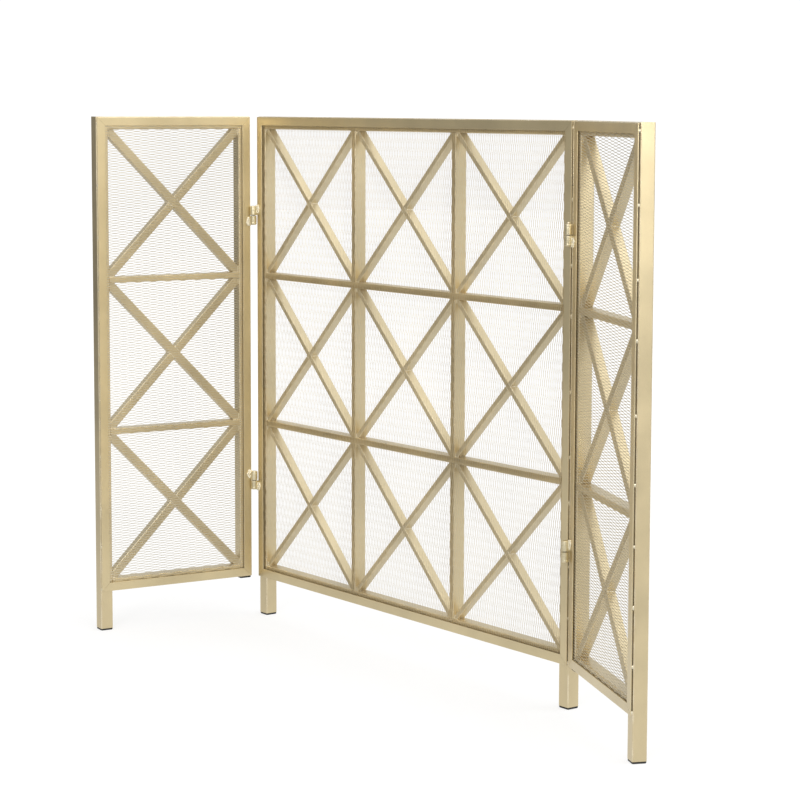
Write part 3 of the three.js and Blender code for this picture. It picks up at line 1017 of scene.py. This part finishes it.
def pale_floor():
    """A white floor that takes soft shadows near the object and glows white farther away."""
    n = Nodes("floor_white")
    distance = n.vector("LENGTH", n.coords)["Value"]
    return n.finish(Base_Color=(FLOOR_WHITE, FLOOR_WHITE, FLOOR_WHITE, 1), Roughness=0.9,
                    Specular_IOR_Level=0, Emission_Color=(1, 1, 1, 1),
                    Emission_Strength=n.ramp(distance, 0.5, 3.5, *FLOOR_GLOW))


def plane(name, reach, z, material):
    mesh = bpy.data.meshes.new(name)
    corners = [(-reach, -reach, z), (reach, -reach, z), (reach, reach, z), (-reach, reach, z)]
    mesh.from_pydata(corners, [], [(0, 1, 2, 3)])
    return stage_object(name, mesh, material)


def floor_and_dome():
    """The camera sees a pale floor. The object reflects a greyer one that lies just under it and glows with
    painted light and shade.
    """
    floor = plane("floor", STAGE_REACH, 0.0, pale_floor())
    floor.visible_diffuse = floor.visible_glossy = False
    # this floor is seen only in reflections and glows with painted light and shade
    under = plane("floor_under", STAGE_REACH, -0.002, painted_light_floor())
    under.visible_camera = under.visible_diffuse = False
    rings, around = 16, 48
    points, faces = [], []
    for k in range(1, rings):
        lat = math.pi * k / rings
        for i in range(around):
            lon = 2 * math.pi * i / around
            points.append((STAGE_REACH * math.sin(lat) * math.cos(lon),
                           STAGE_REACH * math.sin(lat) * math.sin(lon), STAGE_REACH * math.cos(lat)))
    for low in range(0, (rings - 2) * around, around):
        for i in range(around):
            j = (i + 1) % around
            faces.append((low + i, low + j, low + around + j, low + around + i))
    faces.append(tuple(range(around)))
    mesh = bpy.data.meshes.new("backdrop")
    mesh.from_pydata(points, [], faces)
    dome = stage_object("backdrop", mesh, backdrop_white())
    dome.visible_diffuse = dome.visible_glossy = dome.visible_transmission = False
    dome.visible_shadow = dome.visible_volume_scatter = False


def softbox(name, place, target, width, height, power):
    light = bpy.data.lights.new(name, "AREA")
    light.shape = "RECTANGLE"
    light.size, light.size_y, light.energy = width, height, power
    obj = bpy.data.objects.new(name, light)
    bpy.context.scene.collection.objects.link(obj)
    obj.location = place
    obj.rotation_euler = (Vector(target) - Vector(place)).to_track_quat("-Z", "Y").to_euler()
    obj.visible_camera = False


def facing(tree, heading, direction, low, high, start, end):
    """A value that goes from start to end as a heading turns towards a direction."""
    dot = tree.nodes.new("ShaderNodeVectorMath")
    dot.operation = "DOT_PRODUCT"
    dot.inputs[1].default_value = direction
    tree.links.new(heading, dot.inputs[0])
    ramp = tree.nodes.new("ShaderNodeMapRange")
    for key, value in (("From Min", low), ("From Max", high), ("To Min", start), ("To Max", end)):
        ramp.inputs[key].default_value = value
    tree.links.new(dot.outputs["Value"], ramp.inputs["Value"])
    return ramp.outputs["Result"]


def surroundings():
    """A pale room, dimmer towards the far left, where a doorway is darker still."""
    world = bpy.data.worlds.new("room")
    bpy.context.scene.world = world
    world.use_nodes = True
    tree = world.node_tree
    heading = tree.nodes.new("ShaderNodeTexCoord").outputs["Generated"]
    brightest = Vector((0.85, 0.4, 0.35)).normalized()
    strength = tree.nodes.new("ShaderNodeMath")
    strength.operation = "MULTIPLY"
    tree.links.new(facing(tree, heading, brightest, -0.95, 0.95, 0.48, 1.08), strength.inputs[0])
    tree.links.new(facing(tree, heading, DOORWAY, 0.9, 0.99, 1.0, 0.3), strength.inputs[1])
    back = tree.nodes["Background"]
    back.inputs["Color"].default_value = (1, 1, 1, 1)
    tree.links.new(strength.outputs["Value"], back.inputs["Strength"])


def camera():
    data = bpy.data.cameras.new("camera")
    data.sensor_width, data.lens, data.shift_y = CAMERA_SENSOR, CAMERA_LENS, CAMERA_SHIFT
    data.clip_start, data.clip_end = 0.05, 100
    obj = bpy.data.objects.new("camera", data)
    bpy.context.scene.collection.objects.link(obj)
    yaw, pitch, roll = (math.radians(v) for v in CAMERA_TURN)
    ahead = Vector((-math.sin(yaw) * math.cos(pitch), math.cos(yaw) * math.cos(pitch), math.sin(pitch)))
    level = Vector((math.cos(yaw), math.sin(yaw), 0))
    above = level.cross(ahead)
    right = level * math.cos(roll) + above * math.sin(roll)
    up = above * math.cos(roll) - level * math.sin(roll)
    obj.matrix_world = Matrix((
        (right.x, up.x, -ahead.x, CAMERA_PLACE.x),
        (right.y, up.y, -ahead.y, CAMERA_PLACE.y),
        (right.z, up.z, -ahead.z, CAMERA_PLACE.z),
        (0, 0, 0, 1),
    ))
    bpy.context.scene.camera = obj


floor_and_dome()
surroundings()
softbox("key", (3.7, -0.6, 1.2), (0, 0, 0.7), 1.5, 0.85, 16)
softbox("fill", (1.7, -2.7, 1.7), (0, 0, 0.4), 1.1, 1.6, 30)
softbox("back", (1.9, 2.7, 1.9), (0, 0, 0.3), 1.2, 1.0, 13)
softbox("overhead", (0.2, 0.3, 3.2), (0, 0, 0), 2.6, 2.6, 30)
camera()
bpy.context.scene.view_settings.view_transform = "Standard"
bpy.context.scene.view_settings.look = "None"
